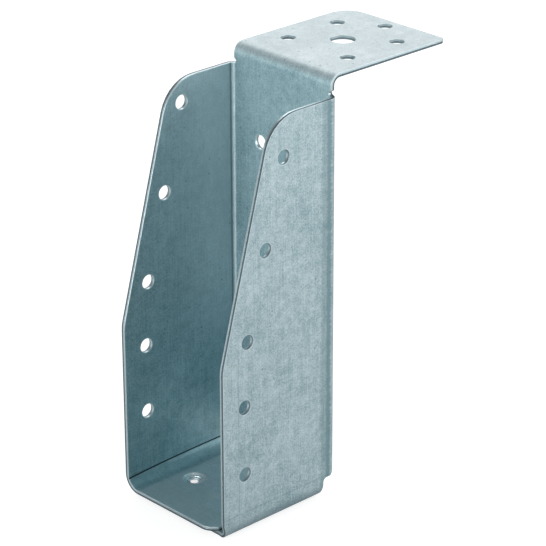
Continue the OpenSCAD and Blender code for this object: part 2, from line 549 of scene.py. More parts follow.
def rounded(corners: list[tuple[float, float, float]], step: float = 12.0) -> list[Point]:
    """A closed line whose corners are rounded.

    Args:
        corners: The u, v and radius of each corner, in order.
        step: Greatest turn between two points of an arc, in degrees.

    Returns:
        The points of the line.
    """
    made: list[Point] = []
    count = len(corners)
    for i, (u, v, radius) in enumerate(corners):
        here = Vector((u, v))
        back = Vector(corners[i - 1][:2]) - here
        ahead = Vector(corners[(i + 1) % count][:2]) - here
        back.normalize()
        ahead.normalize()
        half = back.angle(ahead) / 2
        centre = here + (back + ahead).normalized() * (radius / math.sin(half))
        reach = radius / math.tan(half)
        start = here + back * reach - centre
        turn = start.angle_signed(here + ahead * reach - centre)
        parts = max(1, math.ceil(math.degrees(abs(turn)) / step))
        for k in range(parts + 1):
            spoke = start.copy()
            spoke.rotate(Matrix.Rotation(-turn * k / parts, 2))
            made.append(tuple(centre + spoke))
    return made


def circle(centre: Point, radius: float, count: int) -> list[Point]:
    """Points of a hole, with the metal on the left of the line.

    Args:
        centre: Centre of the hole on the blank.
        radius: Radius of the hole.
        count: Number of points.

    Returns:
        The points in order.
    """
    turns = [-2 * math.pi * i / count for i in range(count)]
    return [(centre[0] + radius * math.cos(a), centre[1] + radius * math.sin(a))
            for a in turns]


# --------------------------------------------------------------------------
# The hanger
# --------------------------------------------------------------------------


@dataclass
class SheetMesh:
    """Points and faces gathered on the blank, before the sheet is folded.

    Attributes:
        places: The u, v and n of each point.
        normals: The surface's direction at each point, on the blank.
        faces: The points of each face.
        zones: The finish of each face.
    """

    places: list[tuple[float, float, float]] = field(default_factory=list)
    normals: list[tuple[float, float, float]] = field(default_factory=list)
    faces: list[tuple[int, ...]] = field(default_factory=list)
    zones: list[Zone] = field(default_factory=list)

    def add_point(self, place: tuple, normal: tuple) -> int:
        """Adds a point.

        Args:
            place: Its u, v and n.
            normal: The surface's direction there, on the blank.

        Returns:
            Its number.
        """
        self.places.append(tuple(float(c) for c in place))
        self.normals.append(tuple(float(c) for c in normal))
        return len(self.places) - 1

    def add_face(self, corners: tuple[int, ...], zone: Zone) -> None:
        """Adds a face with its finish."""
        self.faces.append(corners)
        self.zones.append(zone)


@dataclass
class Hanger:
    """The hanger: the blank's outline and holes, and the mesh folded from them.

    Attributes:
        sizes: The sheet's sizes.
        sheared: Section of the outline.
        punched: Section of the holes.
        dimple: Section of the pierced dimple.
        corner_r: Radius left on corners that are square in the part.
        pitch: Distance between mesh lines where the sheet is flat.
        steps: Mesh steps in each quarter bend.
        margin: Least distance of a mesh point on a face from its edges.
        rim_reach: Greatest distance from an edge that the mesh stores.
    """

    # Distance within which two points of a face count as one
    MERGED = 1e-7

    sizes: Sizes = field(default_factory=Sizes)
    sheared: ShearedSection = field(default_factory=ShearedSection)
    punched: ShearedSection = field(default_factory=lambda: ShearedSection(zone=Zone.BORE))
    dimple: DimpleSection = field(default_factory=DimpleSection)
    corner_r: float = 0.6
    pitch: float = 1.9
    steps: int = 10
    margin: float = 0.3
    rim_reach: float = 20.0

    def __post_init__(self) -> None:
        """Sets up the fold and its lattice."""
        self.fold = Fold(self.sizes)
        self.across, self.up = self.fold.lattice(self.pitch, self.steps)

    def _side_corners(self, side: int) -> list[tuple[float, float, float]]:
        """Corners of one half of the outline, from the plate's foot to the lip.

        Args:
            side: 1 for the right half, -1 for the left.

        Returns:
            The u, v and radius of each corner, listed upward.
        """
        s, fold, small = self.sizes, self.fold, self.corner_r
        deep, rear, chamfer = -s.cheek_depth, -s.seat_rear_gap, s.flap_chamfer
        end, start = (side * (fold.upright_u + turn * fold.upright_r) for turn in s.relief_turns)
        slot = side * (s.neck_x - s.slot_l)
        made = [
            (end, s.back_foot_h, small),
            (start, s.relief_h, small),
            (*fold.cheek(side, rear, s.relief_h), s.relief_r),
        ]
        if side > 0:
            front = deep + s.lower_flap_setback
            flap = [(s.lower_end_x, rear, small), (s.lower_end_x, front, small),
                    (s.in_x - s.seat_bend_r, front, small)]
        else:
            flap = [(s.upper_end_x, rear, small), (s.upper_end_x, deep + chamfer, small),
                    (s.upper_end_x - chamfer, deep, s.flap_corner_r)]
        made += [(*fold.flap(side, x, y), radius) for x, y, radius in flap]
        if side > 0:
            made.append((*fold.cheek(side, deep, fold.foot(side) + s.setback_lead), small))
        made += [
            (*fold.cheek(side, deep, s.knee_h), s.knee_r),
            (*fold.cheek(side, -s.cheek_top_depth, s.cheek_h), s.cheek_corner_r),
            (slot, s.cheek_h, s.slot_r),
            (slot, s.cheek_h + s.slot_w, s.slot_r),
            (side * s.neck_x, s.cheek_h + s.slot_w, small),
            (*fold.lip(side * s.neck_x, s.lip_end_y), s.lip_right_r if side > 0 else s.lip_left_r),
        ]
        return made

    def outline(self) -> Loop:
        """The blank's outline."""
        corners = self._side_corners(1) + self._side_corners(-1)[::-1]
        return Loop(rounded(corners), self.across, self.up)

    def holes(self) -> list[Loop]:
        """The nail holes and the bolt hole.

        Returns:
            A line round each hole, the bolt hole's last.
        """
        s, fold = self.sizes, self.fold
        lean_out = s.lean_edge * math.hypot(1.0, s.lean)
        centres: list[Point] = []
        for side, drop in ((-1, 0.0), (1, s.stagger)):
            centres += [fold.cheek(side, s.row_edge - s.cheek_depth, z - drop)
                        for z in s.row_heights]
            centres += [fold.cheek(side, (z - s.knee_h) * s.lean - s.cheek_depth + lean_out,
                                   z - drop)
                        for z in s.lean_heights]
        centres += [(side * s.back_spacing / 2, s.back_hole_h) for side in (-1, 1)]
        centres += [fold.lip(side * s.lip_spacing_x / 2, y)
                    for side in (-1, 1) for y in s.lip_rows_y]
        centres.append(fold.lip(0.0, s.lip_end_hole_y))
        made = [Loop(circle(c, s.nail_d / 2, count=40), [], []) for c in centres]
        made.append(Loop(circle(fold.lip(0.0, s.bolt_y), s.bolt_d / 2, count=60), [], []))
        return made

    def dimple_loop(self) -> Loop:
        """The rim of the dimple in the left cheek's flap."""
        centre = self.fold.flap(-1, self.sizes.dimple_x, self.sizes.dimple_y)
        return Loop(circle(centre, self.dimple.rim_r, count=48), [], [])

    @staticmethod
    def _wall(mesh: SheetMesh, loop: Loop, rungs: list[Rung]) -> tuple[list[int], list[int]]:
        """Adds the strips of one loop's section.

        Args:
            mesh: The mesh that the strips go into.
            loop: The line that the section follows.
            rungs: The section's lines.

        Returns:
            The points of the first rung and of the last, in the loop's order.
        """
        rings = []
        for rung in rungs:
            tilt = math.radians(rung.tilt)
            ring = []
            for (u, v), (du, dv) in zip(loop.moved(rung.out), loop.outward):
                flat = math.cos(tilt)
                ring.append(mesh.add_point((u, v, rung.n), (du * flat, dv * flat, math.sin(tilt))))
            rings.append(ring)
        for rung, top, low in zip(rungs, rings, rings[1:]):
            for i in range(len(top)):
                j = (i + 1) % len(top)
                mesh.add_face((top[i], low[i], low[j], top[j]), rung.zone)
        return rings[0], rings[-1]

    def _lattice_points(self, loops: list[np.ndarray]) -> np.ndarray:
        """Lattice points that lie on the metal, clear of its edges.

        Args:
            loops: The points of every loop, the outline first.

        Returns:
            The points, one in each row.
        """
        grid = np.array([(u, v) for u in self.across for v in self.up])
        near = distance_to(grid, loops)
        return grid[inside(grid, loops) & (near > self.margin)]

    def _face(self, mesh: SheetMesh, rings: list[list[int]], n: float, up: float) -> None:
        """Fills one face of the sheet between its loops.

        Args:
            mesh: The mesh that the face goes into.
            rings: The mesh's points on each loop, the outline first.
            n: Height of the face above the middle of the sheet.
            up: 1 for the struck face, -1 for the other.
        """
        loops = [np.array([mesh.places[i][:2] for i in ring]) for ring in rings]
        numbers = [i for ring in rings for i in ring]
        for u, v in self._lattice_points(loops):
            numbers.append(mesh.add_point((u, v, n), (0.0, 0.0, up)))
        points = [Vector(mesh.places[i][:2]) for i in numbers]
        edges, start = [], 0
        for ring in rings:
            count = len(ring)
            edges += [(start + i, start + (i + 1) % count) for i in range(count)]
            start += count
        _, _, triangles, originals, _, _ = delaunay_2d_cdt(points, edges, [], 0, self.MERGED)
        corners = np.array([[numbers[originals[i][0]] for i in t] for t in triangles])
        middles = np.array(mesh.places)[corners][:, :, :2].mean(axis=1)
        for triangle in corners[inside(middles, loops)].tolist():
            mesh.add_face(tuple(triangle if up > 0 else triangle[::-1]), Zone.SKIN)

    def flat_mesh(self) -> SheetMesh:
        """The whole blank, with its sections and both faces.

        Returns:
            The mesh, not yet folded.
        """
        mesh = SheetMesh()
        half = self.sizes.half_t
        tops, lows = [], []
        cuts = [(self.outline(), self.sheared), *((hole, self.punched) for hole in self.holes())]
        for loop, section in cuts:
            top, low = self._wall(mesh, loop, section.rungs(2 * half))
            tops.append(top)
            lows.append(low)
        top, low = self._wall(mesh, self.dimple_loop(), self.dimple.rungs(2 * half))
        self._face(mesh, [*tops, top], half, 1.0)
        self._face(mesh, [*lows, low], -half, -1.0)
        return mesh

    def build(self, finishes: dict[Zone, bpy.types.Material]) -> bpy.types.Object:
        """Folds the blank into the hanger and dresses it.

        Args:
            finishes: The finish of each zone.

        Returns:
            The hanger's object.
        """
        flat = self.flat_mesh()
        points, normals = [], []
        for place, normal in zip(flat.places, flat.normals):
            point, axes = self.fold.place(*place)
            points.append(point)
            normals.append((axes @ Vector(normal)).normalized())
        mesh = bpy.data.meshes.new("folded_sheet")
        mesh.from_pydata(points, [], flat.faces)
        for zone in Zone:
            mesh.materials.append(finishes[zone])
        mesh.polygons.foreach_set("material_index", [zone.value for zone in flat.zones])
        mesh.polygons.foreach_set("use_smooth", [True] * len(flat.faces))
        blank = mesh.attributes.new("blank", "FLOAT_VECTOR", "POINT")
        blank.data.foreach_set("vector", [c for place in flat.places for c in place])
        rim = mesh.attributes.new("rim", "FLOAT", "POINT")
        rim.data.foreach_set("value", self._rims(flat))
        mesh.validate()
        mesh.normals_split_custom_set_from_vertices(normals)
        piece = bpy.data.objects.new("folded_sheet", mesh)
        bpy.context.scene.collection.objects.link(piece)
        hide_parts(NODE)
        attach(piece, BODY)
        return piece

    def _rims(self, flat: SheetMesh) -> np.ndarray:
        """Distance of each point of the mesh from the nearest cut edge.

        Args:
            flat: The mesh on the blank.

        Returns:
            One distance for each point.
        """
        loops = [self.outline().points, *(hole.points for hole in self.holes())]
        places = np.array(flat.places)[:, :2]
        return np.minimum(distance_to(places, loops), self.rim_reach)


def distance_to(points: np.ndarray, loops: list[np.ndarray]) -> np.ndarray:
    """Distance of each point from the nearest of some closed lines.

    Args:
        points: The points, one in each row.
        loops: The points of each closed line.

    Returns:
        One distance for each point.
    """
    best = np.full(len(points), np.inf)
    for loop in loops:
        for a, b in zip(loop, np.roll(loop, -1, axis=0)):
            along = b - a
            share = np.clip((points - a) @ along / (along @ along), 0.0, 1.0)
            gap = points - a - share[:, None] * along
            best = np.minimum(best, np.einsum("ij,ij->i", gap, gap))
    return np.sqrt(best)


def inside(points: np.ndarray, loops: list[np.ndarray]) -> np.ndarray:
    """Whether each point lies on the metal, inside the outline and in no hole.

    Args:
        points: The points, one in each row.
        loops: The points of each closed line, the outline and the holes.

    Returns:
        A truth value for each point.
    """
    odd = np.zeros(len(points), dtype=bool)
    for loop in loops:
        for a, b in zip(loop, np.roll(loop, -1, axis=0)):
            spans = (a[1] > points[:, 1]) != (b[1] > points[:, 1])
            if spans.any():
                meet = a[0] + (points[:, 1] - a[1]) * (b[0] - a[0]) / (b[1] - a[1])
                odd ^= spans & (points[:, 0] < meet)
    return odd


# --------------------------------------------------------------------------
# Shader nodes, and the effects that the finishes share
# --------------------------------------------------------------------------


class Nodes:
    """A node tree and a short way to add nodes and links to it."""

    # How the nodes lie in the editor: nodes in a row, and the distances between them
    COLUMNS = 12
    SPACING = (190, -260)
    # Numbers of a Mix node's colour sockets, whose names it uses more than once
    MIX_COLOURS = (6, 7)
    MIX_RESULT = 2

    def __init__(self, tree: bpy.types.NodeTree) -> None:
        """Takes an empty tree.

        Args:
            tree: The tree that the nodes go into.
        """
        self.tree = tree
        self.count = 0

    @classmethod
    def of(cls, owner: bpy.types.Material | bpy.types.World) -> "Nodes":
        """Empties the node tree of a material or a world.

        Args:
            owner: The material or the world.

        Returns:
            Its nodes.
        """
        owner.use_nodes = True
        owner.node_tree.nodes.clear()
        return cls(owner.node_tree)

    def add(self, kind: str, *values: object, **settings: object) -> bpy.types.Node:
        """Adds a node, sets its properties, and sets or links its first inputs.

        Args:
            kind: The node's type name.
            *values: Values or sockets for its inputs, in their order.
            **settings: Values of its properties.

        Returns:
            The node.
        """
        node = self.tree.nodes.new(kind)
        row, column = divmod(self.count, self.COLUMNS)
        node.location = (self.SPACING[0] * column, self.SPACING[1] * row)
        self.count += 1
        for name, value in settings.items():
            setattr(node, name, value)
        for value, socket in zip(values, node.inputs):
            self.link(value, socket)
        return node

    def link(self, source: object, target: bpy.types.NodeSocket) -> None:
        """Joins a socket to another, or sets the second to a plain value.

        Args:
            source: The socket or the value.
            target: The socket that takes it.
        """
        if isinstance(source, bpy.types.NodeSocket):
            self.tree.links.new(source, target)
        else:
            target.default_value = source

    def math(self, operation: str, *values: object) -> Socket:
        """The result of one sum on values or sockets."""
        return self.add("ShaderNodeMath", *values, operation=operation).outputs[0]

    def times(self, first: object, *others: object) -> Socket:
        """Multiplies values or sockets, from the first on.

        Args:
            first: The first of them.
            *others: The rest.

        Returns:
            The product.
        """
        product = first
        for other in others:
            product = self.math("MULTIPLY", product, other)
        return product

    def vector(self, operation: str, *values: object) -> Socket:
        """The result of one vector sum on values or sockets."""
        return self.add("ShaderNodeVectorMath", *values, operation=operation).outputs[0]

    def measure(self, operation: str, a: object, b: object) -> Socket:
        """A number worked out from two vectors, such as their dot product."""
        return self.add("ShaderNodeVectorMath", a, b, operation=operation).outputs["Value"]

    def axes(self, vector: Socket) -> tuple[Socket, Socket, Socket]:
        """The three parts of a vector."""
        return tuple(self.add("ShaderNodeSeparateXYZ", vector).outputs)

    def join(self, *parts: object) -> Socket:
        """The vector that has those parts."""
        return self.add("ShaderNodeCombineXYZ", *parts).outputs[0]

    def attribute(self, name: str, output: str) -> Socket:
        """A value that the mesh stores at each point."""
        return self.add("ShaderNodeAttribute", attribute_name=name).outputs[output]

    def step(self, value: object, low: object, high: object, out: tuple[float, float] = (0.0, 1.0),
             smooth: bool = True) -> Socket:
        """Maps a value from one range to another, and holds it at the ends.

        Args:
            value: The value.
            low: Where the range starts; it may be the greater end.
            high: Where it ends.
            out: The results at the start and at the end.
            smooth: Whether it eases in and out.

        Returns:
            The mapped value.
        """
        kind = "SMOOTHSTEP" if smooth else "LINEAR"
        node = self.add("ShaderNodeMapRange", value, low, high, *out, interpolation_type=kind)
        return node.outputs[0]

    def mix(self, share: object, a: object, b: object, blend: str = "MIX") -> Socket:
        """Blends one colour over another.

        Args:
            share: How much of the second shows.
            a: The colour underneath.
            b: The colour on top.
            blend: How it is laid on.

        Returns:
            The blended colour.
        """
        node = self.add("ShaderNodeMix", share, data_type="RGBA", blend_type=blend)
        for colour, number in zip((a, b), self.MIX_COLOURS):
            self.link((*colour, 1.0) if isinstance(colour, tuple) else colour, node.inputs[number])
        return node.outputs[self.MIX_RESULT]

    def noise(self, place: object, scale: object, detail: float = 2.0, rough: float = 0.5,
              distort: float = 0.0) -> Socket:
        """Noise between 0 and 1.

        Args:
            place: Where the noise is read.
            scale: How fine it is.
            detail: How many finer layers it has.
            rough: How much the finer layers count.
            distort: How far it is bent.

        Returns:
            The noise.
        """
        node = self.add("ShaderNodeTexNoise", noise_dimensions="3D")
        self.link(place, node.inputs["Vector"])
        self.link(scale, node.inputs["Scale"])
        for name, value in (("Detail", detail), ("Roughness", rough), ("Distortion", distort)):
            node.inputs[name].default_value = value
        return node.outputs["Fac"]

    def cells(self, place: object, scale: object, dimensions: str) -> tuple[Socket, Socket, Socket]:
        """Scattered cells.

        Args:
            place: Where the pattern is read.
            scale: Cells in each unit of length.
            dimensions: "2D" or "3D".

        Returns:
            The distance from the cell's middle, and two numbers that each cell draws.
        """
        node = self.add("ShaderNodeTexVoronoi", voronoi_dimensions=dimensions, feature="F1")
        self.link(place, node.inputs["Vector"])
        self.link(scale, node.inputs["Scale"])
        drawn = self.add("ShaderNodeSeparateColor", node.outputs["Color"]).outputs
        return node.outputs["Distance"], drawn[0], drawn[1]

    def group(self, tree: bpy.types.NodeTree, **values: object) -> bpy.types.Node:
        """Places a node group.

        Args:
            tree: The group.
            **values: Values or sockets for its inputs by name, with _ for a space.

        Returns:
            The group's node.
        """
        node = self.add("ShaderNodeGroup", node_tree=tree)
        for name, value in values.items():
            self.link(value, node.inputs[name.replace("_", " ")])
        return node

    def metal(self, colour: object, rough: object, height: object, metallic: float,
              strength: float, depth: float) -> None:
        """Ends a material in a bumpy metal surface.

        Args:
            colour: Base colour.
            rough: Roughness.
            height: Height of the bumps.
            metallic: How metallic it is.
            strength: Strength of the bumps.
            depth: Height that 1 stands for, in metres.
        """
        bump = self.add("ShaderNodeBump")
        self.link(height, bump.inputs["Height"])
        bump.inputs["Strength"].default_value = strength
        bump.inputs["Distance"].default_value = depth
        shader = self.add("ShaderNodeBsdfPrincipled")
        shader.inputs["Metallic"].default_value = metallic
        self.link(colour, shader.inputs["Base Color"])
        self.link(rough, shader.inputs["Roughness"])
        self.link(bump.outputs[0], shader.inputs["Normal"])
        self.add("ShaderNodeOutputMaterial", shader.outputs[0])


class SocketKind(Enum):
    """Kinds of socket on a node group."""

    VALUE = "NodeSocketFloat"
    VECTOR = "NodeSocketVector"


class Effect:
    """A shader node group under construction."""

    def __init__(self, name: str, results: tuple[str, ...], place: bool = True,
                 **inputs: float) -> None:
        """Makes the group and its sockets.

        Args:
            name: The group's name.
            results: Names of its outputs.
            place: Whether it reads a place, in a vector input named Place.
            **inputs: Its other inputs and their usual values, with _ for a space.
        """
        self.tree = bpy.data.node_groups.new(name, "ShaderNodeTree")
        if place:
            self._socket("Place", "INPUT", SocketKind.VECTOR)
        for label, value in inputs.items():
            self._socket(label.replace("_", " "), "INPUT").default_value = value
        for label in results:
            self._socket(label, "OUTPUT")
        self.nodes = Nodes(self.tree)
        self.given = self.nodes.add("NodeGroupInput").outputs
        self.result = self.nodes.add("NodeGroupOutput").inputs

    def _socket(self, label: str, way: str,
                kind: SocketKind = SocketKind.VALUE) -> bpy.types.NodeTreeInterfaceSocket:
        """Adds one socket to the group's interface."""
        return self.tree.interface.new_socket(label, in_out=way, socket_type=kind.value)

    def give(self, **results: Socket) -> bpy.types.NodeTree:
        """Links the results to the group's outputs.

        Args:
            **results: A socket for each output by name.

        Returns:
            The group.
        """
        for label, value in results.items():
            self.nodes.link(value, self.result[label])
        return self.tree


class Effects:
    """The shared effects, each built once. Their places are in millimetres."""

    # Weights of the mottle's cloud, patches, crystals and grain, which add up to 1
    MOTTLE_WEIGHTS = (0.26, 0.22, 0.16, 0.36)
    # Weights of the grain and of the crystals' facets in the mottle's height
    HEIGHT_WEIGHTS = (0.7, 0.3)
    # Turn in radians, and the shift that keeps its pattern apart, of each set of scratches
    SCRATCHES = ((0.35, 3.0), (-0.6, 11.0), (1.25, 23.0))
    # How fine the scratches' noise is across them, along them and through the sheet
    SCRATCH_STRETCH = (2.6, 0.11, 0.3)
    # Noise at which scratches start, how much the density lowers it, and their fading edge
    SCRATCH_LEVEL, SCRATCH_DROP, SCRATCH_EDGE = 0.78, 0.12, 0.05
    # Fineness of the patches that the scratches lie in, and where they start and are full
    SCRATCH_PATCH, PATCH_FADE = 0.035, (0.42, 0.62)
    # How far the specks shift with the height in the sheet, so that its two faces differ
    SPECK_SHIFT = (1.7, 2.3)
    # Least size of a speck, and the part of it that is full, as shares of the usual size
    SPECK_LEAST, SPECK_CORE = 0.35, 0.4
    # Where the strip of edge wear ends and where it is full, as shares of its width
    WEAR_FADE = (1.4, 0.5)

    def __init__(self) -> None:
        """Builds every effect."""
        self.zinc_mottle = self._zinc_mottle()
        self.rolling_grain = self._rolling_grain()
        self.scuffs = self._scuffs()
        self.specks = self._specks()
        self.edge_wear = self._edge_wear()
        self.press_mark = self._press_mark()

    @classmethod
    def _zinc_mottle(cls) -> bpy.types.NodeTree:
        """Cloudy and crystalline variation of a zinc coat.

        Returns:
            A group that gives a tone about 0.5 and a height.
        """
        effect = Effect("zinc_mottle", ("Tone", "Height"), Cloud=0.05, Patch=0.3, Grain=2.5)
        n, given = effect.nodes, effect.given
        cloud = n.noise(given["Place"], given["Cloud"], detail=4.0, rough=0.55, distort=0.6)
        patch = n.noise(given["Place"], given["Patch"], detail=1.5, rough=0.4, distort=0.3)
        grain = n.noise(given["Place"], given["Grain"], detail=4.0, rough=0.75)
        _, crystal, facet = n.cells(given["Place"], n.times(given["Grain"], 1.1), "3D")
        tone = n.times(cloud, cls.MOTTLE_WEIGHTS[0])
        for part, weight in zip((patch, crystal, grain), cls.MOTTLE_WEIGHTS[1:]):
            tone = n.math("MULTIPLY_ADD", part, weight, tone)
        grainy, faceted = cls.HEIGHT_WEIGHTS
        height = n.math("MULTIPLY_ADD", grain, grainy, n.times(facet, faceted))
        return effect.give(Tone=tone, Height=height)

    @staticmethod
    def _rolling_grain() -> bpy.types.NodeTree:
        """Fine lines that the mill's rolls leave along the sheet.

        Returns:
            A group that gives a value about 0.5.
        """
        effect = Effect("rolling_grain", ("Lines",), Fineness=3.0, Length=0.05)
        n, given = effect.nodes, effect.given
        drawn = n.join(given["Fineness"], given["Length"], given["Fineness"])
        place = n.vector("MULTIPLY", given["Place"], drawn)
        return effect.give(Lines=n.noise(place, 1.0, detail=3.0, rough=0.6))

    @classmethod
    def _scuffs(cls) -> bpy.types.NodeTree:
        """Short scratches that lie at several angles.

        Returns:
            A group that gives a mask.
        """
        effect = Effect("scuffs", ("Mask",), Density=0.5)
        n, given = effect.nodes, effect.given
        lowered = n.times(given["Density"], cls.SCRATCH_DROP)
        level = n.math("SUBTRACT", cls.SCRATCH_LEVEL, lowered)
        total: object = 0.0
        for turn, shift in cls.SCRATCHES:
            rotated = n.add("ShaderNodeVectorRotate", rotation_type="Z_AXIS")
            n.link(given["Place"], rotated.inputs["Vector"])
            rotated.inputs["Angle"].default_value = turn
            drawn = n.vector("MULTIPLY", rotated.outputs[0], cls.SCRATCH_STRETCH)
            line = n.noise(n.vector("ADD", drawn, (shift,) * 3), 1.0, detail=1.0, rough=0.4)
            line = n.step(line, level, n.math("ADD", level, cls.SCRATCH_EDGE))
            total = n.math("MAXIMUM", total, line)
        patch = n.step(n.noise(given["Place"], cls.SCRATCH_PATCH), *cls.PATCH_FADE)
        return effect.give(Mask=n.times(total, patch))

    @classmethod
    def _specks(cls) -> bpy.types.NodeTree:
        """Scattered small spots, such as pits and specks of dross.

        Returns:
            A group that gives a mask.
        """
        effect = Effect("specks", ("Mask",), Scale=0.25, Size=0.08, Share=0.35)
        n, given = effect.nodes, effect.given
        x, y, z = n.axes(given["Place"])
        shift_x, shift_y = cls.SPECK_SHIFT
        shifted_x = n.math("MULTIPLY_ADD", z, shift_x, x)
        flat = n.join(shifted_x, n.math("MULTIPLY_ADD", z, shift_y, y))
        away, chance, growth = n.cells(flat, given["Scale"], "2D")
        size = n.times(given["Size"], n.math("ADD", growth, cls.SPECK_LEAST))
        spot = n.step(away, size, n.times(size, cls.SPECK_CORE))
        return effect.give(Mask=n.times(spot, n.math("LESS_THAN", chance, given["Share"])))

    @classmethod
    def _edge_wear(cls) -> bpy.types.NodeTree:
        """A ragged strip along every cut edge.

        Returns:
            A group that gives a mask.
        """
        effect = Effect("edge_wear", ("Mask",), Rim=0.0, Width=0.5, Raggedness=0.5)
        n, given = effect.nodes, effect.given
        rough = n.math("SUBTRACT", n.noise(given["Place"], 0.9, detail=3.0, rough=0.6), 0.5)
        rough = n.times(rough, n.times(given["Raggedness"], 2.0))
        width = n.times(given["Width"], n.math("ADD", rough, 1.0))
        end, full = (n.times(width, share) for share in cls.WEAR_FADE)
        return effect.give(Mask=n.step(given["Rim"], end, full))

    @staticmethod
    def _press_mark() -> bpy.types.NodeTree:
        """A ragged band that a press tool leaves beside a bend.

        Returns:
            A group that gives a mask: 1 inside the band, fading at its sides.
        """
        effect = Effect("press_mark", ("Mask",), place=False, Across=0.0, Along=0.0, Centre=0.0,
                        Half_Width=1.0, Softness=0.2, Raggedness=0.0)
        n, given = effect.nodes, effect.given
        place = n.join(n.times(given["Across"], 0.35), given["Along"])
        shift = n.math("SUBTRACT", n.noise(place, 0.9, detail=2.0, rough=0.7), 0.5)
        shift = n.times(shift, given["Raggedness"])
        off = n.math("ABSOLUTE", n.math("SUBTRACT", given["Across"], given["Centre"]))
        far = n.math("ADD", given["Half Width"], given["Softness"])
        return effect.give(Mask=n.step(n.math("ADD", off, shift), far, given["Half Width"]))


# --------------------------------------------------------------------------
# Finishes
# --------------------------------------------------------------------------


class SheetSurface:
    """What a finish reads at each point of the sheet.

    The place is in millimetres on the blank. The masks are 1 on the struck side, on
    the outer side, on the cheeks and their flaps, on the lip, and in the pocket.
    """

    # Stretch of the patterns, so large through the sheet that its two faces differ
    FACES_APART = (1.0, 1.0, 9.0)

    def __init__(self, n: Nodes, effects: Effects, fold: Fold) -> None:
        """Adds the nodes that read the sheet.

        Args:
            n: The material's nodes.
            effects: The shared effects.
            fold: The sheet's fold, for where its bends lie.
        """
        self.n, self.effects, self.fold = n, effects, fold
        self.place = n.attribute("blank", "Vector")
        self.rim = n.attribute("rim", "Fac")
        self.u, self.v, level = n.axes(self.place)
        self.across = n.math("ABSOLUTE", self.u)
        self.apart = n.vector("MULTIPLY", self.place, self.FACES_APART)
        self.struck = n.math("GREATER_THAN", level, 0.0)
        self.outer = n.math("SUBTRACT", 1.0, self.struck)
        self.cheek = n.math("GREATER_THAN", self.across, fold.cheek_u)
        self.lip = n.step(self.v, fold.lip_v, fold.lip_flat_v)
        self.pocket = n.times(self.struck, n.math("SUBTRACT", 1.0, self.lip))

    def pattern(self, effect: bpy.types.NodeTree, **values: object) -> bpy.types.Node:
        """A shared effect drawn on both faces of the sheet."""
        return self.n.group(effect, Place=self.apart, **values)

    def band(self, across: object, along: object, centre: float, half_width: float,
             softness: float, raggedness: float = 0.0) -> Socket:
        """A press tool's mark.

        Args:
            across: Distance measured across the band.
            along: Distance measured along it.
            centre: Where the band's middle lies, as measured across it.
            half_width: Half its width.
            softness: Width of its fading sides.
            raggedness: How far its sides stray.

        Returns:
            A mask.
        """
        node = self.n.group(self.effects.press_mark, Across=across, Along=along, Centre=centre,
                            Half_Width=half_width, Softness=softness, Raggedness=raggedness)
        return node.outputs[0]

    def near(self, centre: Point, inner: float, outer: float) -> Socket:
        """A round spot.

        Args:
            centre: Its centre on the blank.
            inner: Radius within which the mask is 1.
            outer: Radius past which it is 0.

        Returns:
            A mask.
        """
        flat = self.n.vector("MULTIPLY", self.place, (1.0, 1.0, 0.0))
        away = self.n.measure("DISTANCE", flat, (*centre, 0.0))
        return self.n.step(away, outer, inner)

    def line_at(self, depth: float) -> float:
        """Distance across the blank of a line up a cheek, that far before the back plate."""
        return self.fold.cheek(1, -depth, 0.0)[0]


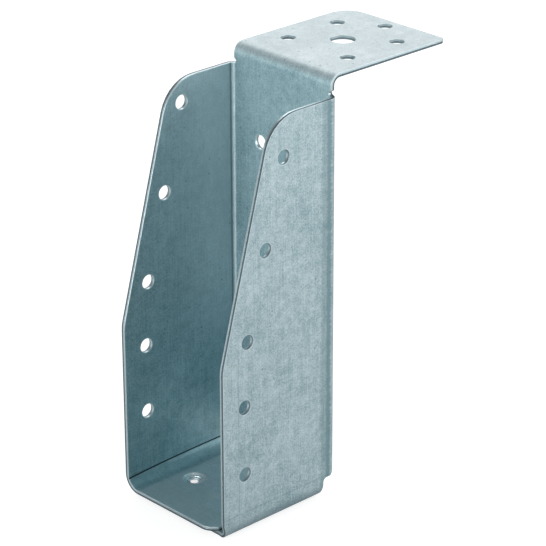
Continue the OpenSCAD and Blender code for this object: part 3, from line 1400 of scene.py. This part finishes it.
class ZincMarks(SheetSurface):
    """Masks of the marks on the zinc coat, and of the light and shade painted on it.

    Each pair named FADE holds two distances in millimetres: where the mark starts and
    where it is full. They are heights up the blank where no comment says otherwise.
    """

    FOOT_FADE = (5.6, -0.5)
    UNDERSIDE_FADE = (0.6, -2.2)
    SCORING_FADE = (52.0, 22.0)
    LOW_POCKET_SHADE_FADE = (75.0, 25.0)
    UPPER_FADE = (55.0, 105.0)
    LOW_FADE = (62.0, 18.0)
    LOW_START_FADE = (3.0, 5.0)
    PLATE_FADE = (85.0, 112.0)
    SEAT_BEND_SHADE_TOP_FADE = (4.4, 3.4)
    # Heights above the one at which the seat starts
    SEAT_BEND_SHADE_LOW_FADE = (-1.0, 2.5)
    SEAT_FADE = (0.5, -1.5)
    # How much painted light the upper cheeks and the seat take, and how much painted shade the low
    # cheeks and the back plate take
    UPPER_SHARE = 0.14
    SEAT_SHARE = 0.48
    LOW_SHARE = 0.2
    PLATE_SHARE = 0.14
    # Painted light near the back plate: its fade across the cheek from the upright bend's
    # end, its clearance from the bend's other end, and its fade up the sheet with the shares at the
    # two heights
    GLOW_ACROSS_FADE = (34.0, 2.0)
    GLOW_CLEARANCE = 0.8
    GLOW_FADE = (25.0, 80.0)
    GLOW_SHARES = (0.12, 0.42)
    # The crease: its height, and a bow that grows with the square of the distance from
    # its middle. The middle and the start are depths in front of the back plate
    CREASE_HEIGHT = 3.9
    CREASE_MIDDLE = 8.0
    CREASE_BOW = -0.00072
    CREASE_START = 0.5
    # Lines that the press tool left on the cheeks' outer faces
    UPRIGHT_LINE_DEPTH = 43.2
    UPRIGHT_LINE_TOP = 66.0
    LEVEL_LINE_HEIGHT = 5.6
    # Painted highlights on the seat: the place of the one without a hole, and the radii within
    # which it and the dimple's are full and past which they end. The dimple is also burnished
    # smoother
    SPOT_PLACE = (2.0, -33.6)
    SPOT_RADII = (0.4, 3.8)
    BURNISH_AND_HIGHLIGHT_RADII = (3.6, 4.8)

    @cached_property
    def scuffs(self) -> Socket:
        """Light scratches everywhere."""
        return self.pattern(self.effects.scuffs, Density=0.6).outputs[0]

    @cached_property
    def pits(self) -> Socket:
        """Small dark pits everywhere."""
        return self.pattern(self.effects.specks, Scale=0.2, Size=0.075, Share=0.4).outputs[0]

    @cached_property
    def wear(self) -> Socket:
        """Rubbed strip along the edges."""
        return self.pattern(self.effects.edge_wear, Rim=self.rim, Width=0.35).outputs[0]

    @cached_property
    def scoring(self) -> Socket:
        """Scratches low on the cheeks' outer faces."""
        scratches = self.pattern(self.effects.scuffs, Density=1.2).outputs[0]
        return self.n.times(scratches, self.n.step(self.v, *self.SCORING_FADE), self.outer)

    @cached_property
    def bend_mark(self) -> Socket:
        """Ragged dark band on the cheeks' outer faces, beside the upright bends."""
        wide = self.band(self.across, self.v, centre=self.line_at(3.6), half_width=1.5,
                         softness=1.4, raggedness=3.4)
        core = self.band(self.across, self.v, centre=self.line_at(2.4), half_width=0.5,
                         softness=0.9, raggedness=1.6)
        both = self.n.math("MULTIPLY_ADD", core, 0.5, self.n.times(wide, 0.6))
        return self.n.times(both, self.outer)

    @cached_property
    def foot_painted_shade(self) -> Socket:
        """Painted shade where the cheeks are drawn round into the seat, darkest underneath."""
        low = self.n.times(self.n.step(self.v, *self.FOOT_FADE), 0.4)
        under = self.n.step(self.v, *self.UNDERSIDE_FADE)
        return self.n.times(self.n.math("MULTIPLY_ADD", under, 0.6, low), self.outer)

    @cached_property
    def tool_lines(self) -> Socket:
        """Two faint lines on the cheeks' outer faces, along the front edge and the foot."""
        upright = self.band(self.across, self.v, centre=self.line_at(self.UPRIGHT_LINE_DEPTH),
                            half_width=0.1, softness=0.25)
        upright = self.n.times(upright, self.n.math("LESS_THAN", self.v, self.UPRIGHT_LINE_TOP))
        level = self.band(self.v, self.u, centre=self.LEVEL_LINE_HEIGHT, half_width=0.1,
                          softness=0.3)
        return self.n.times(self.n.math("MAXIMUM", upright, level), self.outer)

    @cached_property
    def corner_shade_line(self) -> Socket:
        """Painted shade: a dark line in the corner where a cheek meets the back plate."""
        line = self.band(self.across, self.v, centre=self.fold.cheek_u - 0.6, half_width=0.3,
                         softness=0.35)
        below_top = self.n.math("LESS_THAN", self.v, self.fold.sizes.cheek_h)
        return self.n.times(line, below_top, self.struck)

    @cached_property
    def seat_bend_painted_shade(self) -> Socket:
        """Painted shade on the inside of the seat bends."""
        low, full = (self.seat_v + rise for rise in self.SEAT_BEND_SHADE_LOW_FADE)
        top = self.n.step(self.v, *self.SEAT_BEND_SHADE_TOP_FADE)
        return self.n.times(self.n.step(self.v, low, full), top, self.struck)

    @cached_property
    def crease(self) -> Socket:
        """Black line where the left cheek turns into its flap, bowed a little."""
        depth = self.n.math("SUBTRACT", self.fold.cheek(-1, 0.0, 0.0)[0], self.u)
        off = self.n.math("SUBTRACT", depth, self.CREASE_MIDDLE)
        bow = self.n.times(self.n.times(off, off), self.CREASE_BOW)
        line = self.band(self.n.math("SUBTRACT", self.v, bow), self.u, centre=self.CREASE_HEIGHT,
                         half_width=0.19, softness=0.22)
        on_cheek = self.n.math("GREATER_THAN", depth, self.CREASE_START)
        return self.n.times(line, on_cheek, self.struck)

    @cached_property
    def low_pocket_shade(self) -> Socket:
        """The lower part of the pocket, where the painted shade tint is laid again."""
        return self.n.times(self.n.step(self.v, *self.LOW_POCKET_SHADE_FADE), self.cheek, self.pocket)

    @cached_property
    def corner_painted_light(self) -> Socket:
        """Painted light on the cheeks' insides towards the back plate, most of it high up."""
        far, close = (self.fold.cheek_u + away for away in self.GLOW_ACROSS_FADE)
        start = self.fold.upright_u + self.GLOW_CLEARANCE
        past_bend = self.n.math("GREATER_THAN", self.across, start)
        share = self.n.step(self.v, *self.GLOW_FADE, self.GLOW_SHARES)
        return self.n.times(self.n.step(self.across, far, close), past_bend, self.pocket, share)

    @cached_property
    def seat_and_upper_painted_light(self) -> Socket:
        """Painted light on the seat and on the upper cheeks' insides."""
        start, full = (self.seat_v + rise for rise in self.SEAT_FADE)
        seat = self.n.times(self.n.step(self.v, start, full), self.SEAT_SHARE)
        upper = self.n.times(self.n.step(self.v, *self.UPPER_FADE), self.UPPER_SHARE)
        return self.n.times(self.n.math("ADD", seat, upper), self.cheek, self.struck)

    @cached_property
    def shade(self) -> Socket:
        """Painted shade low on the cheeks' insides and high on the back plate."""
        low = self.n.step(self.v, *self.LOW_FADE)
        start = self.n.step(self.v, *self.LOW_START_FADE)
        low = self.n.times(low, start, self.LOW_SHARE, self.cheek)
        below_lip = self.n.step(self.v, self.fold.lip_v + 1.0, self.fold.lip_v)
        plate = self.n.times(self.n.step(self.v, *self.PLATE_FADE), below_lip)
        plate = self.n.times(plate, self.n.math("SUBTRACT", 1.0, self.cheek))
        both = self.n.math("MULTIPLY_ADD", plate, self.PLATE_SHARE, low)
        return self.n.times(both, self.struck)

    @cached_property
    def dimple_burnish_and_highlight(self) -> Socket:
        """The dimple, burnished smoother and painted bright as a highlight."""
        s = self.fold.sizes
        return self.near(self.fold.flap(-1, s.dimple_x, s.dimple_y), *self.BURNISH_AND_HIGHLIGHT_RADII)

    @cached_property
    def spot(self) -> Socket:
        """A painted highlight on the seat."""
        return self.near(self.fold.flap(-1, *self.SPOT_PLACE), *self.SPOT_RADII)

    @property
    def seat_v(self) -> float:
        """Height on the blank at which the left seat bend ends and the seat starts."""
        return self.fold.foot(-1) - self.fold.seat_arc


@dataclass(frozen=True)
class Coat:
    """One layer laid over the zinc: a mark, painted light or painted shade.

    Attributes:
        mask: Where it lies.
        share: How much of it shows.
        tint: Its colour.
        blend: How it is laid on.
    """

    mask: Socket
    share: float
    tint: Colour
    blend: str = "MIX"


@dataclass(frozen=True)
class GalvanisedFinish:
    """Hot-dip zinc coat on the sheet's faces, with painted light and shade laid over it.

    Attributes:
        name: Name of the material.
        pale: Colour where the coat is bright.
        deep: Colour where it is dull.
        rubbed_and_painted_light: Colour where handling has burnished it bright, and of painted
            light and highlights.
        stain_and_painted_shade: Colour of pits, press marks and scratches, and of painted shade in
            the bends, the corners and the pocket.
        crease: Colour inside the crease at the seat bend.
        lip_painted_light: Painted light: paler colour that the open lip, facing up, tends to.
        pocket_shade_tint: Painted shade: teal tint of the pocket's inside, where light bounces
            between its faces.
        tones: Tones of the mottle that count as dull and as bright.
        grain: How much the rolling lines change the tone.
        roughness: Roughness where the mottle's tone is 0.
        roughness_drop: How much smoother it is where that tone is 1.
        metallic: How metallic it is.
        bump: Strength of the bumps.
        bump_depth: Height that 1 stands for in them, in metres.
    """

    name: str = "galvanised_skin"
    pale: Colour = (0.52, 0.63, 0.66)
    deep: Colour = (0.21, 0.32, 0.355)
    rubbed_and_painted_light: Colour = (0.66, 0.75, 0.78)
    stain_and_painted_shade: Colour = (0.13, 0.23, 0.26)
    crease: Colour = (0.004, 0.012, 0.015)
    lip_painted_light: Colour = (0.68, 0.71, 0.72)
    pocket_shade_tint: Colour = (0.86, 0.98, 1.0)
    tones: tuple[float, float] = (0.34, 0.66)
    grain: float = 0.3
    roughness: float = 0.64
    roughness_drop: float = 0.35
    metallic: float = 0.7
    bump: float = 0.45
    bump_depth: float = 0.00016

    def _coats(self, marks: ZincMarks) -> tuple[Coat, ...]:
        """What is laid over the mottled zinc.

        Args:
            marks: The masks of its marks.

        Returns:
            The coats, from the lowest to the topmost.
        """
        return (
            # Painted light: the open lip, facing up, paler.
            Coat(marks.lip, 0.5, self.lip_painted_light),
            # Painted shade: a teal tint over the pocket's inside.
            Coat(marks.pocket, 1.0, self.pocket_shade_tint, "MULTIPLY"),
            # Painted shade: the teal tint again, low in the pocket.
            Coat(marks.low_pocket_shade, 1.0, self.pocket_shade_tint, "MULTIPLY"),
            # Painted light on the cheeks' insides near the back plate.
            Coat(marks.corner_painted_light, 1.0, self.rubbed_and_painted_light),
            Coat(marks.scuffs, 0.3, self.rubbed_and_painted_light),
            Coat(marks.pits, 0.7, self.stain_and_painted_shade),
            Coat(marks.wear, 0.5, self.rubbed_and_painted_light),
            Coat(marks.bend_mark, 0.72, self.stain_and_painted_shade),
            # Painted shade round the seat bends' outsides, darkest underneath.
            Coat(marks.foot_painted_shade, 0.8, self.stain_and_painted_shade),
            Coat(marks.tool_lines, 0.3, self.stain_and_painted_shade),
            # Painted shade: dark line in the corners by the back plate.
            Coat(marks.corner_shade_line, 0.75, self.stain_and_painted_shade),
            # Painted shade on the inside of the seat bends.
            Coat(marks.seat_bend_painted_shade, 0.45, self.stain_and_painted_shade),
            Coat(marks.scoring, 0.6, self.stain_and_painted_shade),
            Coat(marks.crease, 0.95, self.crease),
            # Painted highlight on the dimple.
            Coat(marks.dimple_burnish_and_highlight, 0.95, self.rubbed_and_painted_light),
            # Painted highlight: a small spot on the seat.
            Coat(marks.spot, 0.4, self.rubbed_and_painted_light),
            # Painted light on the seat and the upper cheeks' insides.
            Coat(marks.seat_and_upper_painted_light, 1.0, self.rubbed_and_painted_light),
            # Painted shade low on the cheeks' insides and high on the back plate.
            Coat(marks.shade, 1.0, self.stain_and_painted_shade),
        )

    def build(self, effects: Effects, fold: Fold) -> bpy.types.Material:
        """Makes the material.

        Args:
            effects: The shared effects.
            fold: The sheet's fold, for where its bends lie.

        Returns:
            The material.
        """
        material = bpy.data.materials.new(self.name)
        n = Nodes.of(material)
        marks = ZincMarks(n, effects, fold)
        mottle = marks.pattern(effects.zinc_mottle).outputs
        lines = marks.pattern(effects.rolling_grain).outputs[0]
        tone = n.math("SUBTRACT", lines, 0.5)
        tone = n.math("MULTIPLY_ADD", tone, self.grain, mottle["Tone"])
        colour = n.mix(n.step(tone, *self.tones, smooth=False), self.deep, self.pale)
        for coat in self._coats(marks):
            colour = n.mix(n.times(coat.mask, coat.share), colour, coat.tint, coat.blend)
        rough = n.math("MULTIPLY_ADD", mottle["Tone"], -self.roughness_drop, self.roughness)
        for mask, change in ((marks.scuffs, -0.08), (marks.dimple_burnish_and_highlight, -0.3), (marks.lip, 0.14)):
            rough = n.math("MULTIPLY_ADD", mask, change, rough)
        height = n.math("MULTIPLY_ADD", mottle["Height"], 0.6, n.times(lines, 0.5))
        for mask, depth in ((marks.pits, 0.8), (marks.crease, 6.0)):
            height = n.math("SUBTRACT", height, n.times(mask, depth))
        n.metal(colour, rough, height, self.metallic, self.bump, self.bump_depth)
        return material


@dataclass(frozen=True)
class ShearedFinish:
    """Bare cut edge of the sheet: burnished above, broken below.

    Attributes:
        name: Name of the material.
        bright: Colour of the burnished wall.
        torn: Colour of the broken wall.
        smooth: Roughness of the burnished wall.
        coarse: How much rougher the broken wall is.
        break_fade: Heights in the sheet at which the wall starts to be broken and is so.
        break_stray: How far those heights stray, in all.
        streaks: How much of the torn colour the streaks carry.
        metallic: How metallic it is.
        bump: Strength of the bumps.
        bump_depth: Height that 1 stands for in them, in metres.
    """

    name: str = "sheared_edge"
    bright: Colour = (0.60, 0.71, 0.74)
    torn: Colour = (0.10, 0.15, 0.17)
    smooth: float = 0.36
    coarse: float = 0.32
    break_fade: tuple[float, float] = (0.05, -0.07)
    break_stray: float = 0.35
    streaks: float = 0.5
    metallic: float = 0.95
    bump: float = 0.6
    bump_depth: float = 0.00015

    def build(self, effects: Effects) -> bpy.types.Material:
        """Makes the material.

        Args:
            effects: The shared effects.

        Returns:
            The material.
        """
        material = bpy.data.materials.new(self.name)
        n = Nodes.of(material)
        place = n.attribute("blank", "Vector")
        ragged = n.math("SUBTRACT", n.noise(place, 1.3, detail=3.0, rough=0.6), 0.5)
        level = n.math("MULTIPLY_ADD", ragged, self.break_stray, n.axes(place)[2])
        torn = n.step(level, *self.break_fade)
        drawn = n.vector("MULTIPLY", place, (1.0, 1.0, 0.2))
        streaks = n.group(effects.rolling_grain, Place=drawn, Fineness=4.0, Length=4.0).outputs[0]
        colour = n.mix(torn, self.bright, self.torn)
        colour = n.mix(n.times(streaks, self.streaks), colour, self.torn)
        rough = n.math("MULTIPLY_ADD", torn, self.coarse, self.smooth)
        height = n.times(streaks, n.math("ADD", torn, 0.25))
        n.metal(colour, rough, height, self.metallic, self.bump, self.bump_depth)
        return material


# --------------------------------------------------------------------------
# The studio
# --------------------------------------------------------------------------


@dataclass(frozen=True)
class SoftBox:
    """A square area lamp that faces a target.

    Attributes:
        name: Name of the lamp.
        place: Where it stands, in metres.
        side: Its side, in metres.
        power: Its power, in watts.
    """

    name: str
    place: tuple[float, float, float]
    side: float
    power: float

    def build(self, target: Vector) -> None:
        """Makes the lamp and turns it to a point.

        Args:
            target: The point, in metres.
        """
        lamp = bpy.data.lights.new(self.name, "AREA")
        lamp.shape = "SQUARE"
        lamp.size = self.side
        lamp.energy = self.power
        holder = bpy.data.objects.new(self.name, lamp)
        holder.location = self.place
        aim = target - Vector(self.place)
        holder.rotation_mode = "QUATERNION"
        holder.rotation_quaternion = aim.to_track_quat("-Z", "Y")
        bpy.context.scene.collection.objects.link(holder)


@dataclass(frozen=True)
class Studio:
    """Floor, light, surroundings and camera.

    Attributes:
        target: The point that the camera faces, in metres.
        azimuth: Camera's angle round the object, in degrees.
        elevation: Camera's angle above the horizon, in degrees.
        roll: Camera's turn about its own axis, in degrees.
        distance: Camera's distance from the target, in metres.
        lens: Focal length, in millimetres.
        sensor: Width of the sensor, in millimetres.
        floor_side: Side of the floor, in metres.
        floor_grey: The floor's brightness in the light that it sends on to the object.
        seen_grey: The floor's brightness under the lamps as the camera sees it.
        seen_lift: White that the floor adds to that.
        soft_level: Strength of the surroundings as plain light.
        dim_side: Direction from which the surroundings are dimmest.
        dim_range: How far a direction agrees with it where the dimming starts and ends.
        dim_level: Strength left there.
        boxes: The area lamps.
    """

    target: tuple[float, float, float] = (-0.004323, 0.0, 0.070424)
    azimuth: float = 46.671
    elevation: float = 23.852
    roll: float = -0.186
    distance: float = 0.8722
    lens: float = 170.1
    sensor: float = 36.0
    floor_side: float = 6.0
    floor_grey: float = 0.82
    seen_grey: float = 0.4
    seen_lift: float = 0.8
    soft_level: float = 0.6
    dim_side: tuple[float, float, float] = (-0.6, -0.45, 0.65)
    dim_range: tuple[float, float] = (0.6, 0.95)
    dim_level: float = 0.3
    boxes: tuple[SoftBox, ...] = (
        SoftBox("top_box", (-0.5, 0.5, 0.85), 0.8, 3.8),
        SoftBox("side_box", (0.9, 0.5, 0.2), 0.8, 6.8),
        SoftBox("front_box", (0.0, -1.0, 0.2), 0.7, 9.0),
    )

    def _camera(self) -> None:
        """Makes the camera."""
        around, above = math.radians(self.azimuth), math.radians(self.elevation)
        away = Vector((math.cos(above) * math.sin(around),
                       -math.cos(above) * math.cos(around), math.sin(above)))
        level = Vector((math.cos(around), math.sin(around), 0.0))
        turn = math.radians(self.roll)
        right = level * math.cos(turn) + away.cross(level) * math.sin(turn)
        data = bpy.data.cameras.new("camera")
        data.lens = self.lens
        data.sensor_width = self.sensor
        camera = bpy.data.objects.new("camera", data)
        pose = Matrix((right, away.cross(right), away)).transposed().to_4x4()
        pose.translation = Vector(self.target) + away * self.distance
        camera.matrix_world = pose
        bpy.context.scene.collection.objects.link(camera)
        bpy.context.scene.camera = camera

    def _floor(self, height: float) -> None:
        """Lays a pale floor.

        Args:
            height: Height of the floor, in metres.
        """
        half = self.floor_side / 2
        mesh = bpy.data.meshes.new("floor")
        corners = [(-half, -half, height), (half, -half, height),
                   (half, half, height), (-half, half, height)]
        mesh.from_pydata(corners, [], [(0, 1, 2, 3)])
        material = bpy.data.materials.new("pale_floor")
        n = Nodes.of(material)
        seen = n.add("ShaderNodeLightPath").outputs["Is Camera Ray"]
        grey = n.mix(seen, (self.floor_grey,) * 3, (self.seen_grey,) * 3)
        diffuse = n.add("ShaderNodeBsdfDiffuse", grey)
        lift = n.add("ShaderNodeEmission")
        n.link(n.times(seen, self.seen_lift), lift.inputs["Strength"])
        both = n.add("ShaderNodeAddShader", diffuse.outputs[0], lift.outputs[0])
        n.add("ShaderNodeOutputMaterial", both.outputs[0])
        mesh.materials.append(material)
        floor = bpy.data.objects.new("floor", mesh)
        bpy.context.scene.collection.objects.link(floor)

    def _world(self) -> None:
        """Surrounds the object with white light, dimmer from the front left above."""
        world = bpy.data.worlds.new("surround")
        bpy.context.scene.world = world
        n = Nodes.of(world)
        path = n.add("ShaderNodeLightPath").outputs
        seen = n.math("MAXIMUM", path["Is Camera Ray"], path["Is Transmission Ray"])
        way = n.add("ShaderNodeTexCoord").outputs["Generated"]
        agree = n.measure("DOT_PRODUCT", way, tuple(Vector(self.dim_side).normalized()))
        level = n.step(agree, *self.dim_range, (1.0, self.dim_level))
        share = n.step(path["Is Glossy Ray"], 0.0, 1.0, (self.soft_level, 1.0), smooth=False)
        background = n.add("ShaderNodeBackground")
        n.link(n.math("MAXIMUM", seen, n.times(level, share)), background.inputs["Strength"])
        n.add("ShaderNodeOutputWorld", background.outputs[0])

    def build(self, floor_height: float) -> None:
        """Makes the whole studio.

        Args:
            floor_height: Height of the floor, in metres.
        """
        bpy.context.scene.view_settings.view_transform = "Standard"
        self._camera()
        self._floor(floor_height)
        self._world()
        for box in self.boxes:
            box.build(Vector(self.target))


def main() -> None:
    """Builds the hanger and the studio."""
    logging.basicConfig(level=logging.INFO, format="%(name)s: %(message)s")
    hanger = Hanger()
    effects = Effects()
    finishes = {
        Zone.SKIN: GalvanisedFinish().build(effects, hanger.fold),
        Zone.EDGE: ShearedFinish().build(effects),
        # The holes' broken wall is painted paler than the edge's, a painted highlight inside the
        # holes.
        Zone.BORE: ShearedFinish("punched_wall", torn=(0.26, 0.35, 0.38)).build(effects),
    }
    piece = hanger.build(finishes)
    log.info("%s: %d faces", piece.name, len(piece.data.polygons))
    Studio().build(cad_box[0].z)
    log.info("studio: floor, lamps, surround and camera")
    bpy.context.view_layer.update()


if __name__ == "__main__":
    main()
